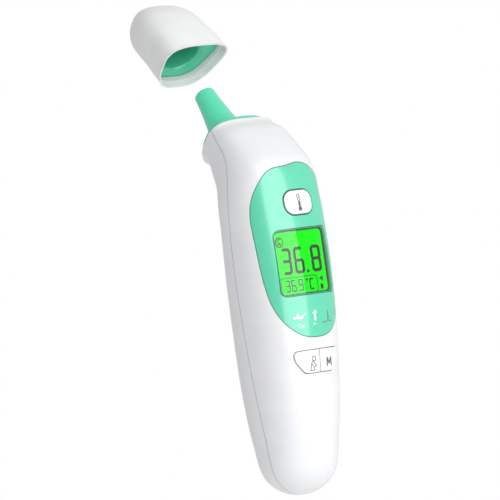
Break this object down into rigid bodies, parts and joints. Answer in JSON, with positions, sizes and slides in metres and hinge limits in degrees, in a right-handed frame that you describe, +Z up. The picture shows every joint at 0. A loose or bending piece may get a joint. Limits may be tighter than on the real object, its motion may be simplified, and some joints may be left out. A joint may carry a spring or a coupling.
{
  "type": "digital ear thermometer",
  "caption": "Hand-held ear thermometer with a leaning head, ear probe, lift-off probe cap, front panel with display, press keys and a sliding battery cover.",
  "frame": {"origin": "under the rounded lower end of the handle, on the axis the handle rises from, level with its lowest point", "axes": "+Z up the handle towards the head and cap, -Y out of the display side, +X to the right as seen from the display side; X = 0 is the plane of symmetry of the housing"},
  "size_m": [0.0378, 0.0828, 0.1894],
  "materials": {
    "shell_white": "satin moulded",
    "panel_mint": "polished moulded",
    "window_clear": "clear polished",
    "key_white": "satin moulded",
    "switch_metal": "stamped",
    "switch_button": "matt",
    "board_green": "solder mask over copper tracks",
    "chip_black": "matt moulded",
    "component_tan": "fired ends",
    "socket_cream": "matt moulded",
    "screw_steel": "zinc plated",
    "lcd_green": "backlit display",
    "backlight_white": "diffusing",
    "strip_rubber": "matt",
    "frame_dark": "matt moulded",
    "probe_mint": "polished moulded",
    "sensor_film": "coated film",
    "barrel_brass": "plated",
    "sensor_can": "nickel plated",
    "cable_grey": "flat ribbon",
    "tray_dark": "matt moulded",
    "cell_sleeve": "printed sleeve",
    "contact_steel": "nickel plated",
    "cap_white": "satin moulded",
    "liner_mint": "satin moulded"
  },
  "bodies": {
    "housing": {"front_shell": "shell_white", "rear_shell": "shell_white", "front_panel": "panel_mint", "display_window": "window_clear", "tact_switches": "switch_metal", "main_board": "board_green", "processor_chip": "chip_black", "board_components": "component_tan", "buzzer": "chip_black", "sensor_socket": "socket_cream", "board_screws": "screw_steel", "lcd_glass": "lcd_green", "backlight": "backlight_white", "contact_strips": "strip_rubber", "lcd_frame": "frame_dark", "head_plate": "panel_mint", "ear_probe": "probe_mint", "sensor_window": "sensor_film", "sensor_barrel": "barrel_brass", "thermopile_sensor": "sensor_can", "sensor_board": "board_green", "sensor_cable": "cable_grey", "battery_tray": "tray_dark", "battery_left": "cell_sleeve", "battery_right": "cell_sleeve", "lower_contact": "contact_steel", "upper_contacts": "contact_steel", "case_screws": "screw_steel"},
    "cap": {"cap_shell": "cap_white", "cap_liner": "liner_mint"},
    "scan_key": {"scan_key": "key_white", "scan_switch_button": "switch_button"},
    "age_key": {"age_key": "key_white", "age_switch_button": "switch_button"},
    "memory_key": {"memory_key": "key_white", "memory_switch_button": "switch_button"},
    "battery_cover": {"battery_cover": "shell_white"}
  },
  "joints": [
    {"name": "cap_slide", "type": "slide", "parent": "housing", "child": "cap", "axis": [0, 0.5446, 0.8387], "range_m": [-0.0358, 0]},
    {"name": "scan_press", "type": "slide", "parent": "housing", "child": "scan_key", "axis": [0, 1, 0], "range_m": [0, 0.00045], "stiffness_N_per_m": 600},
    {"name": "age_press", "type": "slide", "parent": "housing", "child": "age_key", "axis": [0, 1, 0], "range_m": [0, 0.00045], "stiffness_N_per_m": 600},
    {"name": "memory_press", "type": "slide", "parent": "housing", "child": "memory_key", "axis": [0, 1, 0], "range_m": [0, 0.00045], "stiffness_N_per_m": 600},
    {"name": "battery_cover_slide", "type": "slide", "parent": "housing", "child": "battery_cover", "axis": [0, 0, -1], "range_m": [0, 0.062]}
  ]
}
